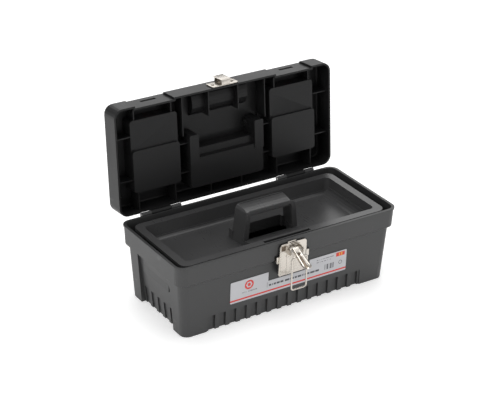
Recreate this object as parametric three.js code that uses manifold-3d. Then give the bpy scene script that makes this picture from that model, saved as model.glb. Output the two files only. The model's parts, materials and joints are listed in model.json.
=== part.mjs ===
// Small plastic toolbox with a lift-out tray, shown with its lid standing open.
// Millimetres, +Z up. X runs along the length, the front with the latch faces -Y.
// The origin is the centre of the flat underside of the base.
import * as THREE from "three";
import { mergeVertices } from "three/addons/utils/BufferGeometryUtils.js";
import Module from "manifold-3d";

const wasm = await Module();
wasm.setup();

// Driving dimensions.
const WALL = 2.5; // moulded wall thickness
const GAP = 0.3; // free space left between pieces that touch
const CORNER_STEPS = 3; // half the straight steps in each rounded plan corner

const BASE = {
  halfX: 158.4, halfY: 70.4, cornerR: 12, height: 99.3,
  bandBottom: 72, bandStep: 4.8, lipOut: 0.6, lipHeight: 2,
  rimWall: 3, draftX: 6.3, draftY: 2.3, cavityDraft: 0.7, floor: 2.6,
};
const BELT = { top: 21, pitch: 15, count: 15, groove: 9, centreX: -3, recess: 1.3, depth: 3.3 };
const END_PANEL = {
  halfY: 38.5, topDepth: 3.5, bottomDepth: 5.5, grooves: 5, grooveDepth: 1.4, grooveTop: 24,
};
const SHELF = { reach: 134, halfY: 30, top: 72.6, root: 48 };

const HINGE = {
  y: 72.4, z: 99.9, openAngle: 94.9, inner: 72, outer: 128, knuckleR: 3, pinR: 1.3,
  endBarrel: 14, clearR: 3.6, sideGap: 0.4,
};
const LID = {
  halfX: 157, front: -69.3, back: 69.7, bottom: HINGE.z, top: 128.5, cornerR: 12, edgeR: 4,
  wall: 2.4, skin: 2.5,
};
const WELL = {
  inner: 66.5, outer: 134.5, front: -50, step: -12, back: 44.5, deep: 102.5, shallow: 106.5, wall: 2,
};
const COVER = { inner: 62, outer: 139, front: -62, back: 52.4, thick: 2.2, axisY: 50.2, edgeR: 1.1 };
const TONGUE = { inner: 92, outer: 110, front: -61, thick: 1.5, reach: 13.5, slotGap: 0.8 };
const FRONT_NOTCH = { inner: 74, outer: 128, depth: 2.6, window: [90, 111], windowLow: 13, windowHigh: 8 };
const HANDLE_WELL = {
  halfX: 52.5, front: 9, back: 55, floor: 104.3, stepY: 18.5, stepFloor: 110.5,
  armInner: 42.5, armFront: -12.5, armFloor: 112, wall: 2,
};
const RIB = {
  thick: 1.4, root: LID.bottom + 4, crown: LID.top - 1, endY: [-30, 26], middleY: [-4, 34], wellInset: 8,
  frontX: 20.8, frontEnd: -32, frontLow: 107, backX: 22, sideX: 59.5, sideEnd: -14,
};
const SCOOP = { halfX: 38, centreY: -48, halfY: 15, depth: 11, wall: 2.2, steps: 10 };
const CARRY = {
  pivotY: -6.5, pivotZ: 122.3, armX: 47.5, armWide: 6, armThick: 8, gripY: 43, gripWide: 15, gripThick: 11,
  bossR: 5, pinR: 2.1, pinBossR: 4.6,
};

const TRAY = {
  halfX: 147, halfY: 61, flange: 10, top: 96, bottom: 72.9, wall: 2, cornerR: 10,
  draftX: 2.6, draftY: 2.4, hemHeight: 4, endRound: 9, sideRound: 5, roundSteps: 4,
  slotLeft: -32, slotRight: 35, slotFront: -59, slotBack: -54.5,
};
const GRIP = {
  front: -23, back: 3, topZ: 122.4, rimTopZ: 121.5, topHalf: 35, baseHalf: 40.5, shoulder: 5,
  rim: 2.2, rimDrop: 4, holeTopHalf: 29.5, holeBaseHalf: 33.5, frontScale: 0.9, shell: 2.4,
  lipDeep: 1.8, lipStep: 1, crownLow: 113, crownSteps: 6,
  sillZ: 83, backSillZ: 87.5, pitBack: 10, pitWall: 2.4, rampFront: -51.5, rampTop: 93, rampHalf: 40,
};

const LATCH = {
  face: -71.3, thick: 1.1, halfX: 19.5, bottom: 51, top: 95, cornerR: 4,
  earHalfX: 24.5, earBottom: 70, earTop: 80, hem: 2.2, hemRaise: 0.9,
  lugX: 8, lugThick: 1.2, lugR: 4.4, pivotY: -78, pivotZ: 86, restAngle: 26,
  bossHalfX: 17, bossBottom: 53, bridgeHalfX: 10.5, bridgeRaise: 0.8, slotX: [-6, 8], slotZ: [92.8, 94.1],
};
const LEVER = {
  length: 33, halfX: 5.4, sheet: 1.1, web: 3.1, heel: 2.6, rootDepth: 5.4, tipDepth: 3, tipRise: 1.8,
  pinR: 1.5, groove: 3.4, grooveDepth: 0.5, grooveEnds: [6, 7],
};
const BAIL = { arm: 9.5, halfX: 10.7, wireR: 1.1, length: 43.8, cornerR: 3.2, halfSides: 4, steps: 52 };
const RIVET = { x: 7.7, z: 77.6, headR: 2.6, head: 0.7, shankR: 1.5, hole: 0.7, length: 6 };
const KEEPER = {
  halfX: 19, bottom: 100.6, top: 117.5, thick: 1.1, hookHalf: 6.5, out: 8.2, hookBottom: 106,
  shelf: 119, lip: 122.6, rivetX: 14, rivetZ: 109, rivetR: 2.2,
};
const LABEL = {
  left: -84, right: 86, bottom: 29, top: 58.5, notch: 30, notchTop: 46.3, thick: 0.35, cornerR: 1.5,
};

// Helpers.
const degrees = (angle) => THREE.MathUtils.degToRad(angle);

function finish(name, color, roughness, metalness = 0) {
  return new THREE.MeshStandardMaterial({ name, color, roughness, metalness });
}

function toSolid(geometry) {
  const bare = geometry.clone();
  bare.deleteAttribute("normal");
  bare.deleteAttribute("uv");
  const merged = mergeVertices(bare, 1e-4);
  return new wasm.Manifold(new wasm.Mesh({
    numProp: 3,
    vertProperties: Float32Array.from(merged.attributes.position.array),
    triVerts: Uint32Array.from(merged.index.array),
  }));
}

function toGeometry(solid) {
  const mesh = solid.getMesh();
  const geometry = new THREE.BufferGeometry();
  geometry.setAttribute("position", new THREE.BufferAttribute(mesh.vertProperties, 3));
  geometry.setIndex(new THREE.BufferAttribute(mesh.triVerts, 1));
  return geometry;
}

function join(...solids) {
  return solids.reduce((whole, next) => whole.add(next));
}

function cut(solid, ...tools) {
  return tools.reduce((whole, tool) => whole.subtract(tool), solid);
}

// A box between two corners.
function block(low, high) {
  const geometry = new THREE.BoxGeometry(high[0] - low[0], high[1] - low[1], high[2] - low[2]);
  geometry.translate((low[0] + high[0]) / 2, (low[1] + high[1]) / 2, (low[2] + high[2]) / 2);
  return toSolid(geometry);
}

function roundedShape(low, high, radius) {
  const shape = new THREE.Shape();
  shape.moveTo(low[0] + radius, low[1]);
  shape.lineTo(high[0] - radius, low[1]);
  shape.absarc(high[0] - radius, low[1] + radius, radius, -Math.PI / 2, 0);
  shape.lineTo(high[0], high[1] - radius);
  shape.absarc(high[0] - radius, high[1] - radius, radius, 0, Math.PI / 2);
  shape.lineTo(low[0] + radius, high[1]);
  shape.absarc(low[0] + radius, high[1] - radius, radius, Math.PI / 2, Math.PI);
  shape.lineTo(low[0], low[1] + radius);
  shape.absarc(low[0] + radius, low[1] + radius, radius, Math.PI, 1.5 * Math.PI);
  return shape;
}

// An upright prism with rounded plan corners. inset draws the low end in along X and Y,
// which is the mould draft; edge rounds the rims at both ends.
function slab(low, high, radius, { inset = [0, 0], edge = 0, steps = CORNER_STEPS } = {}) {
  const shape = roundedShape([low[0] + edge, low[1] + edge], [high[0] - edge, high[1] - edge],
    Math.max(radius - edge, 0.5));
  const geometry = new THREE.ExtrudeGeometry(shape, {
    depth: high[2] - low[2] - 2 * edge, curveSegments: steps, bevelEnabled: edge > 0,
    bevelSize: edge, bevelThickness: edge, bevelSegments: 3,
  });
  geometry.translate(0, 0, low[2] + edge);
  const position = geometry.attributes.position;
  const middle = [(low[0] + high[0]) / 2, (low[1] + high[1]) / 2];
  for (let i = 0; i < position.count; i++) {
    const down = (high[2] - position.getZ(i)) / (high[2] - low[2]);
    const sx = 1 - (down * inset[0]) / (high[0] - middle[0]);
    const sy = 1 - (down * inset[1]) / (high[1] - middle[1]);
    position.setX(i, middle[0] + (position.getX(i) - middle[0]) * sx);
    position.setY(i, middle[1] + (position.getY(i) - middle[1]) * sy);
  }
  return toSolid(geometry);
}

// A centred slab: half sizes and a height range.
function centredSlab(halfX, halfY, z0, z1, radius, options) {
  return slab([-halfX, -halfY, z0], [halfX, halfY, z1], radius, options);
}

// An outline in the YZ plane, carried along X from x0 to x1.
function alongX(points, x0, x1) {
  const shape = new THREE.Shape(points.map(([y, z]) => new THREE.Vector2(y, z)));
  const geometry = new THREE.ExtrudeGeometry(shape, { depth: x1 - x0, bevelEnabled: false });
  geometry.applyMatrix4(new THREE.Matrix4().makeBasis(
    new THREE.Vector3(0, 1, 0), new THREE.Vector3(0, 0, 1), new THREE.Vector3(1, 0, 0)));
  geometry.translate(x0, 0, 0);
  return toSolid(geometry);
}

// An outline in the XZ plane, carried along Y from y0 to y1. frontScale narrows the y0 end.
function alongY(points, y0, y1, frontScale = 1) {
  const shape = new THREE.Shape(points.map(([x, z]) => new THREE.Vector2(x, z)));
  const geometry = new THREE.ExtrudeGeometry(shape, { depth: y1 - y0, bevelEnabled: false });
  geometry.rotateX(Math.PI / 2);
  geometry.translate(0, y1, 0);
  const position = geometry.attributes.position;
  const middle = (y0 + y1) / 2;
  for (let i = 0; i < position.count; i++) {
    if (position.getY(i) < middle) position.setX(i, position.getX(i) * frontScale);
  }
  return toSolid(geometry);
}

function rodX(radius, x0, x1, y, z, sides = 20) {
  const geometry = new THREE.CylinderGeometry(radius, radius, x1 - x0, sides);
  geometry.rotateZ(Math.PI / 2);
  geometry.translate((x0 + x1) / 2, y, z);
  return toSolid(geometry);
}

function rodY(radius, y0, y1, x, z, sides = 20) {
  const geometry = new THREE.CylinderGeometry(radius, radius, y1 - y0, sides);
  geometry.translate(x, (y0 + y1) / 2, z);
  return toSolid(geometry);
}

// The same solid on the other side of the middle plane.
function mirrored(solid) {
  return solid.mirror([1, 0, 0]);
}

function bothSides(solid) {
  return join(solid, mirrored(solid));
}

function node(name, solid, material) {
  const mesh = new THREE.Mesh(toGeometry(solid), material);
  mesh.name = name;
  return mesh;
}

// Finishes.
const blackPlastic = finish("black_plastic", 0x2c2d2f, 0.55);
const trayPlastic = finish("tray_plastic", 0x262729, 0.5);
const redPlastic = finish("red_plastic", 0xa01c1c, 0.25);
const nickel = finish("nickel", 0xcfc8bd, 0.3, 1);
const steelPin = finish("steel_pin", 0xa9a7a2, 0.35, 1);
const labelFoil = finish("label_foil", 0xc9c9cc, 0.4);

// Base.
function baseBody() {
  const wallX = BASE.halfX - BASE.bandStep;
  const wallY = BASE.halfY - BASE.bandStep;
  const lower = centredSlab(wallX, wallY, 0, BASE.bandBottom + 8, BASE.cornerR - 2,
    { inset: [BASE.draftX, BASE.draftY] });
  const cove = BASE.bandStep;
  const band = centredSlab(BASE.halfX, BASE.halfY, BASE.bandBottom - 1, BASE.height, BASE.cornerR,
    { inset: [1.2, 1.2] });
  const coveRing = centredSlab(BASE.halfX, BASE.halfY, BASE.bandBottom - 1, BASE.bandBottom + 3,
    BASE.cornerR, { inset: [cove, cove] });
  const bandAbove = centredSlab(BASE.halfX + 1, BASE.halfY + 1, BASE.bandBottom + 3, BASE.height + 1,
    BASE.cornerR);
  const lip = centredSlab(BASE.halfX + BASE.lipOut, BASE.halfY + BASE.lipOut,
    BASE.height - BASE.lipHeight, BASE.height, BASE.cornerR);
  return join(lower, band.intersect(join(bandAbove, coveRing)), lip);
}

// The tub: a narrow sump between the belt ribs, the drafted main cavity, and the wider rim.
function baseCavity() {
  const innerX = BASE.halfX - BASE.bandStep - END_PANEL.topDepth - WALL;
  const innerY = BASE.halfY - BASE.bandStep - WALL;
  const sumpTop = BELT.top + 2;
  const sump = centredSlab(innerX - BASE.draftX - 2, innerY - BELT.depth - BASE.draftY,
    BASE.floor, sumpTop + 1, 6);
  const main = centredSlab(innerX, innerY, sumpTop, BASE.bandBottom + WALL + 0.5, 8,
    { inset: [BASE.draftX, BASE.draftY * BASE.cavityDraft] });
  const rim = centredSlab(BASE.halfX - BASE.rimWall, BASE.halfY - BASE.rimWall,
    BASE.bandBottom + WALL, BASE.height + 1, BASE.cornerR - BASE.rimWall, { inset: [1, 1] });
  return join(sump, main, rim);
}

// Grooves between the ribs of the belt that runs round the foot of each long side.
function beltCuts() {
  const faceY = BASE.halfY - BASE.bandStep;
  const half = (BELT.pitch * BELT.count) / 2;
  const reach = faceY + 5;
  const footY = faceY - BASE.draftY;
  const slope = (BASE.draftY * BELT.top) / (BASE.bandBottom + 8);
  const band = alongX([[-reach, -1], [-footY + BELT.recess, -1], [-footY + BELT.recess - slope, BELT.top],
    [-reach, BELT.top]], BELT.centreX - half, BELT.centreX + half);
  const groove = (x) => block([x - BELT.groove / 2, -reach, -1],
    [x + BELT.groove / 2, -footY + BELT.depth, BELT.top - 1]);
  const grooves = Array.from({ length: BELT.count }, (_, i) =>
    groove(BELT.centreX - half + BELT.pitch * (i + 0.5)));
  const front = join(band, ...grooves);
  return join(front, front.mirror([0, 1, 0]));
}

// The sunk panel on each end wall, with its own short grooves.
function endCuts() {
  const faceX = BASE.halfX - BASE.bandStep;
  const footX = faceX - BASE.draftX;
  const reach = faceX + 5;
  const top = BASE.bandBottom - 1.2;
  const panel = alongY([[reach, -1], [footX - END_PANEL.bottomDepth, -1],
    [faceX - END_PANEL.topDepth, top], [reach, top]], -END_PANEL.halfY, END_PANEL.halfY);
  const tilt = ((faceX - END_PANEL.topDepth) - (footX - END_PANEL.bottomDepth)) / (top + 1);
  const deepX = footX - END_PANEL.bottomDepth - END_PANEL.grooveDepth;
  const groove = (y) => alongY([[reach, -1], [deepX, -1],
    [deepX + tilt * END_PANEL.grooveTop, END_PANEL.grooveTop], [reach, END_PANEL.grooveTop]],
  y - BELT.groove / 2, y + BELT.groove / 2);
  const middle = (END_PANEL.grooves - 1) / 2;
  const grooves = Array.from({ length: END_PANEL.grooves }, (_, i) => groove((i - middle) * BELT.pitch));
  return bothSides(join(panel, ...grooves));
}

// Gusseted ledges inside the ends, which carry the tray.
function trayShelves() {
  const wall = BASE.halfX - BASE.bandStep - END_PANEL.topDepth - WALL + 1;
  return bothSides(alongY([[wall, SHELF.top], [SHELF.reach, SHELF.top], [SHELF.reach, SHELF.top - WALL],
    [wall - 1, SHELF.root], [wall, SHELF.root]], -SHELF.halfY, SHELF.halfY));
}

// Each hinge has two barrels on the base and one on the lid between them.
function hingeSpans() {
  const { inner, outer, endBarrel, sideGap } = HINGE;
  return {
    ends: [[inner, inner + endBarrel - sideGap], [outer - endBarrel + sideGap, outer]],
    middle: [inner + endBarrel, outer - endBarrel],
  };
}

function baseBarrels() {
  const foot = BASE.halfY - 0.5;
  const barrels = hingeSpans().ends.map(([x0, x1]) => join(
    rodX(HINGE.knuckleR, x0, x1, HINGE.y, HINGE.z),
    alongX([[foot, 90], [HINGE.y + HINGE.knuckleR * 0.8, HINGE.z - HINGE.knuckleR * 0.6],
      [HINGE.y, HINGE.z], [foot, HINGE.z - 1.2]], x0, x1),
  ));
  return bothSides(join(...barrels));
}

// Room round a barrel, cut from the shell that turns past it.
function barrelRoom([x0, x1]) {
  return bothSides(rodX(HINGE.clearR, x0 - HINGE.sideGap, x1 + HINGE.sideGap, HINGE.y, HINGE.z));
}

function hingeBore() {
  return rodX(HINGE.pinR + GAP / 2, HINGE.inner - 1, HINGE.outer + 1, HINGE.y, HINGE.z, 16);
}

// The block that backs the latch below the band, and slots for the plate's two ears.
function latchBoss() {
  return slab([-LATCH.bossHalfX, LATCH.face + GAP, LATCH.bossBottom],
    [LATCH.bossHalfX, -(BASE.halfY - BASE.bandStep) + 3, BASE.bandBottom + 4], 1.2);
}

function earSlots() {
  const inner = LATCH.earHalfX - LATCH.thick - 0.5;
  return bothSides(block([inner, LATCH.face - 2, LATCH.earBottom - 0.4],
    [LATCH.earHalfX + 0.4, LATCH.face + 6.6, LATCH.earTop + 0.4]));
}

function rivetBores() {
  const bore = (x, z) => rodY(RIVET.shankR + 0.25, LATCH.face - 3, LATCH.face + RIVET.length + 2, x, z, 16);
  return join(bore(RIVET.x, RIVET.z), bore(-RIVET.x, RIVET.z));
}

function baseShell() {
  const body = cut(baseBody(), beltCuts(), endCuts(), baseCavity());
  const clear = cut(join(body, trayShelves(), latchBoss()), barrelRoom(hingeSpans().middle));
  return cut(join(clear, baseBarrels()), bothSides(hingeBore()), earSlots(), rivetBores());
}

// Lid, drawn closed.
function lidBody() {
  const outer = slab([-LID.halfX, LID.front, LID.bottom - 20], [LID.halfX, LID.back, LID.top],
    LID.cornerR, { edge: LID.edgeR });
  const inner = slab([-LID.halfX + LID.wall, LID.front + LID.wall, LID.bottom - 22],
    [LID.halfX - LID.wall, LID.back - LID.wall, LID.top - LID.skin], LID.cornerR - LID.wall,
    { edge: 2 });
  const below = block([-LID.halfX - 9, LID.front - 9, LID.bottom - 30],
    [LID.halfX + 9, LID.back + 9, LID.bottom]);
  return { outer: outer.subtract(below), inner };
}

function wellOutside() {
  return join(
    slab([WELL.inner, WELL.front, WELL.shallow], [WELL.outer, WELL.back, LID.top - 1], 4,
      { inset: [1.2, 1.2] }),
    slab([WELL.inner, WELL.step, WELL.deep], [WELL.outer, WELL.back, LID.top - 1], 4, { inset: [1.2, 1.2] }),
    slab([COVER.inner - 3, COVER.front - 3, LID.top - COVER.thick - 3.2],
      [COVER.outer + 3, COVER.back + 3, LID.top - 1], 3),
  );
}

function wellInside() {
  const w = WELL.wall;
  return join(
    slab([WELL.inner + w, WELL.front + w, WELL.shallow + w], [WELL.outer - w, WELL.back - w, LID.top + 1], 3,
      { inset: [1.2, 1.2] }),
    slab([WELL.inner + w, WELL.step + w, WELL.deep + w], [WELL.outer - w, WELL.back - w, LID.top + 1], 3,
      { inset: [1.2, 1.2] }),
    slab([COVER.inner, COVER.front, LID.top - COVER.thick - 0.5], [COVER.outer, COVER.back, LID.top + 1], 2),
  );
}

// The set-back stretch of front wall under each cover.
function notchWall() {
  return block([FRONT_NOTCH.inner - 2, LID.front + 1, LID.bottom + 0.1],
    [FRONT_NOTCH.outer + 2, LID.front + FRONT_NOTCH.depth + LID.wall, LID.top - 1.5]);
}

// The notch itself, the window through its wall, and the slot for the cover's tongue.
function notchCut() {
  const { inner, outer, depth, window, windowLow, windowHigh } = FRONT_NOTCH;
  const gap = TONGUE.slotGap;
  return join(
    block([inner, LID.front - 3, LID.bottom - 2], [outer, LID.front + depth, LID.top + 2]),
    block([window[0], LID.front - 3, LID.top - windowLow], [window[1], LID.front + 9, LID.top - windowHigh]),
    block([TONGUE.inner - gap, TONGUE.front - gap, LID.top - windowLow - 4],
      [TONGUE.outer + gap, TONGUE.front + TONGUE.thick + gap, LID.top - 1]),
  );
}

function handleWellOutside() {
  const { halfX, back, floor, stepY, stepFloor, armInner, armFront, armFloor, wall: w } = HANDLE_WELL;
  const top = LID.top - 1;
  return join(
    slab([-halfX - w, stepY - w, floor - w], [halfX + w, back + w, top], 4, { inset: [1, 1] }),
    slab([-armInner, HANDLE_WELL.front - w, stepFloor - w], [armInner, stepY + 4, top], 3),
    bothSides(slab([armInner - w, armFront - w, armFloor - w - 9], [halfX + w, stepY + 6, top], 2,
      { inset: [0.5, 0.5] })),
  );
}

function handleWellInside() {
  const { halfX, front, back, floor, stepY, stepFloor, armInner, armFront, armFloor } = HANDLE_WELL;
  const top = LID.top + 1;
  return join(
    slab([-halfX, stepY, floor], [halfX, back, top], 3, { inset: [1, 1] }),
    block([-armInner + 1, front, stepFloor], [armInner - 1, stepY + 3, top]),
    bothSides(block([armInner, armFront, armFloor - 7], [halfX, stepY + 4, top])),
  );
}

// A shallow cylindrical scoop near the front edge.
function scoopShape(halfX, halfY, depth) {
  const points = Array.from({ length: SCOOP.steps + 1 }, (_, i) => {
    const turn = (Math.PI * i) / SCOOP.steps;
    return [SCOOP.centreY - halfY * Math.cos(turn), LID.top - depth * Math.sin(turn)];
  });
  points.push([SCOOP.centreY + halfY, LID.top + 2], [SCOOP.centreY - halfY, LID.top + 2]);
  return alongX(points, -halfX, halfX);
}

function lidRibs() {
  const { thick, root, crown } = RIB;
  const alongEnd = (x0, x1, y, z0) => block([x0, y, z0], [x1, y + thick, crown]);
  const alongSide = (x, y0, y1, z0) => block([x, y0, z0], [x + thick, y1, crown]);
  const frontWall = LID.front + 1;
  const backWall = LID.back - 1;
  const ribs = [];
  for (const y of RIB.endY) ribs.push(alongEnd(WELL.outer - 1, LID.halfX - 1, y, root + 2));
  for (const y of RIB.middleY) ribs.push(alongEnd(HANDLE_WELL.halfX, WELL.inner + 1, y, root + 4));
  for (const x of [WELL.inner + RIB.wellInset, WELL.outer - RIB.wellInset]) {
    ribs.push(alongSide(x, WELL.back - 1, backWall, root));
    ribs.push(alongSide(x, frontWall, WELL.front + 1, root + 3));
  }
  ribs.push(alongSide(RIB.frontX, frontWall, RIB.frontEnd, RIB.frontLow));
  ribs.push(alongSide(RIB.backX, HANDLE_WELL.back + 1, backWall, root + 2));
  ribs.push(alongSide(RIB.sideX, frontWall, RIB.sideEnd, root + 2));
  return bothSides(join(...ribs));
}

function lidKnuckles() {
  const [x0, x1] = hingeSpans().middle;
  return bothSides(join(
    rodX(HINGE.knuckleR, x0, x1, HINGE.y, HINGE.z),
    alongX([[LID.back - 1, 108], [LID.back - 1, HINGE.z + 1.2], [HINGE.y, HINGE.z],
      [HINGE.y + HINGE.knuckleR * 0.8, HINGE.z + HINGE.knuckleR * 0.6]], x0, x1),
  ));
}

function handlePinBores() {
  const { armInner, halfX } = HANDLE_WELL;
  return bothSides(rodX(CARRY.pinR + GAP / 2, armInner - 6, halfX + 6, CARRY.pivotY, CARRY.pivotZ, 16));
}

function keeperBores() {
  return bothSides(rodY(RIVET.shankR + 0.25, LID.front - 2, LID.front + 6, KEEPER.rivetX, KEEPER.rivetZ, 16));
}

function lidShell() {
  const { outer, inner } = lidBody();
  const scoopInside = scoopShape(SCOOP.halfX, SCOOP.halfY, SCOOP.depth);
  const scoopOutside = scoopShape(SCOOP.halfX + SCOOP.wall, SCOOP.halfY + SCOOP.wall,
    SCOOP.depth + SCOOP.wall);
  const pinBoss = bothSides(rodX(CARRY.pinBossR, HANDLE_WELL.armInner - 5, HANDLE_WELL.armInner,
    CARRY.pivotY, CARRY.pivotZ));
  const pads = join(bothSides(wellOutside()), handleWellOutside(), scoopOutside, lidRibs(),
    bothSides(notchWall()), pinBoss).intersect(outer);
  const shell = join(outer.subtract(inner), pads);
  const hollow = cut(shell, bothSides(wellInside()), handleWellInside(), scoopInside, bothSides(notchCut()));
  const hinged = join(cut(hollow, ...hingeSpans().ends.map(barrelRoom)), lidKnuckles());
  return cut(hinged, bothSides(hingeBore()), handlePinBores(), keeperBores());
}

// A flush cover for one organiser well: plate, rounded hinge edge, locating lip and snap tongue.
function organizerCover() {
  const top = LID.top - 0.2;
  const under = top - COVER.thick;
  const inner = COVER.inner + 0.4;
  const outer = COVER.outer - 0.4;
  const plate = slab([inner, COVER.front + 0.4, under], [outer, COVER.axisY, top], 1.5);
  const edge = rodX(COVER.edgeR, inner, outer, COVER.axisY, top - COVER.edgeR, 16);
  const lipSpace = WELL.wall + 0.5;
  const lip = (grow) => slab([WELL.inner + lipSpace + grow, WELL.front + lipSpace + grow, under - 2.4],
    [WELL.outer - lipSpace - grow, WELL.back - lipSpace - 0.6 - grow, under + 0.3], 2.5);
  const tongue = block([TONGUE.inner, TONGUE.front, top - TONGUE.reach],
    [TONGUE.outer, TONGUE.front + TONGUE.thick, top - 0.5]);
  return join(plate, edge, lip(0).subtract(lip(1.3)), tongue);
}

// U-shaped carrying handle, folded back into its well.
function carryHandle() {
  const x = CARRY.armX;
  const z = CARRY.pivotZ;
  const h = CARRY.armWide / 2;
  const arm = join(
    block([x - h, CARRY.pivotY, z - CARRY.armThick / 2], [x + h, CARRY.gripY, z + CARRY.armThick / 2]),
    rodX(CARRY.bossR, x - h, x + h, CARRY.pivotY, z),
  );
  const grip = slab([-x - h, CARRY.gripY - CARRY.gripWide / 2, z - CARRY.gripThick / 2],
    [x + h, CARRY.gripY + CARRY.gripWide / 2, z + CARRY.gripThick / 2], 5, { edge: 2.5 });
  const bore = rodX(CARRY.pinR + GAP / 2, x - h - 1, x + h + 1, CARRY.pivotY, z, 16);
  return join(bothSides(arm.subtract(bore)), grip);
}

function carryPin() {
  return rodX(CARRY.pinR, HANDLE_WELL.armInner - 2.5, HANDLE_WELL.halfX + 1.6,
    CARRY.pivotY, CARRY.pivotZ, 16);
}

// Keeper on the lid's front wall.
function keeperPlate() {
  const back = LID.front - GAP;
  const face = back - KEEPER.thick;
  const t = KEEPER.thick;
  const out = back - KEEPER.out;
  const flange = slab([-KEEPER.halfX, KEEPER.bottom, 0], [KEEPER.halfX, KEEPER.top, t], 2.5);
  const plate = flange.rotate([90, 0, 0]).translate([0, back, 0]);
  const hook = alongX([
    [face + 0.4, KEEPER.bottom + 1], [face, KEEPER.bottom + 1], [out, KEEPER.hookBottom],
    [out, KEEPER.lip], [out + t, KEEPER.lip], [out + t, KEEPER.shelf], [face + 0.4, KEEPER.shelf - 2.2],
    [face + 0.4, KEEPER.shelf - 2.2 - t], [out + t, KEEPER.shelf - t], [out + t, KEEPER.hookBottom + 0.6],
    [face + 0.4, KEEPER.bottom + 1 + 1.6 * t],
  ], -KEEPER.hookHalf, KEEPER.hookHalf);
  const bores = bothSides(rodY(RIVET.shankR + 0.25, face - 1, back + 1, KEEPER.rivetX, KEEPER.rivetZ, 16));
  return join(plate, hook).subtract(bores);
}

// A hollow rivet with a thin flat head; axis along Y, the head's seat at y = seat.
function rivet(x, z, seat, headR) {
  const head = rodY(headR, seat - RIVET.head, seat, x, z, 20);
  const shank = rodY(RIVET.shankR, seat - 0.1, seat + RIVET.length, x, z, 16);
  const hollow = rodY(RIVET.hole, seat - RIVET.head - 1, seat + RIVET.length * 0.7, x, z, 12);
  return join(head, shank).subtract(hollow);
}

// Latch.
function latchPlate() {
  const back = LATCH.face;
  const front = back - LATCH.thick;
  const sheet = (low, high, radius) =>
    slab([low[0], low[1], 0], [high[0], high[1], LATCH.thick], radius)
      .rotate([90, 0, 0]).translate([0, back, 0]);
  const panel = sheet([-LATCH.halfX, LATCH.bottom], [LATCH.halfX, LATCH.top], LATCH.cornerR);
  const ears = sheet([-LATCH.earHalfX, LATCH.earBottom], [LATCH.earHalfX, LATCH.earTop], 1);
  const prong = bothSides(block([LATCH.earHalfX - LATCH.thick, front, LATCH.earBottom + 0.5],
    [LATCH.earHalfX, back + 5.5, LATCH.earTop - 0.5]));
  const hem = block([-LATCH.halfX, front - LATCH.hemRaise, LATCH.bottom + 3],
    [-LATCH.halfX + LATCH.hem, front + 0.2, LATCH.top - 3]);
  const lugLow = LATCH.pivotZ - LATCH.lugR;
  const lugHigh = LATCH.pivotZ + LATCH.lugR;
  const lug = bothSides(join(
    block([LATCH.lugX, LATCH.pivotY, lugLow], [LATCH.lugX + LATCH.lugThick, front + 0.3, lugHigh]),
    rodX(LATCH.lugR, LATCH.lugX, LATCH.lugX + LATCH.lugThick, LATCH.pivotY, LATCH.pivotZ),
  ));
  const bridge = block([-LATCH.bridgeHalfX, front - LATCH.bridgeRaise, RIVET.z + RIVET.headR + 0.8],
    [-LATCH.lugX + 1, front + 0.2, LATCH.top - 0.6]);
  const slot = block([LATCH.slotX[0], back - 3, LATCH.slotZ[0]], [LATCH.slotX[1], back + 1, LATCH.slotZ[1]]);
  const pinBore = rodX(LEVER.pinR + GAP / 2, -20, 20, LATCH.pivotY, LATCH.pivotZ, 16);
  return cut(join(panel, ears, prong, hem, lug, bridge), slot, pinBore, rivetBores());
}

function latchPin() {
  const end = LATCH.lugX + LATCH.lugThick;
  return rodX(LEVER.pinR, -end - 0.2, end + 0.2, LATCH.pivotY, LATCH.pivotZ, 16);
}

// The lever is drawn with its pivot at the origin and its tip towards -Y.
function latchLever() {
  const { length, halfX, sheet, web, heel, rootDepth, tipDepth, tipRise, groove, grooveEnds } = LEVER;
  const outline = [
    [heel, -1.8], [heel, 1.2], [0.6, web], [-length + 4, web], [-length, web + tipRise],
    [-length - 0.6, web + tipRise - 1], [-length + 3.4, web - tipDepth], [-length / 2 + 1, web - rootDepth],
    [-3, web - rootDepth - 1], [heel / 2, -heel],
  ];
  const inside = [
    [4, -6], [4, 0.4], [0, web - sheet], [-length + 4, web - sheet], [-length + 1.4, web - sheet - 4],
    [-length - 4, -8], [-8, -12],
  ];
  const channel = alongX(outline, -halfX, halfX).subtract(alongX(inside, -halfX + sheet, halfX - sheet));
  const crease = block([-groove / 2, -length + grooveEnds[1], web - LEVER.grooveDepth],
    [groove / 2, -grooveEnds[0], web + 1]);
  const pinBore = rodX(LEVER.pinR + GAP / 2, -20, 20, 0, 0, 16);
  const bailBore = rodX(BAIL.wireR + GAP / 2, -20, 20, -BAIL.arm, 0, 12);
  return cut(channel, crease, pinBore, bailBore);
}

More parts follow.
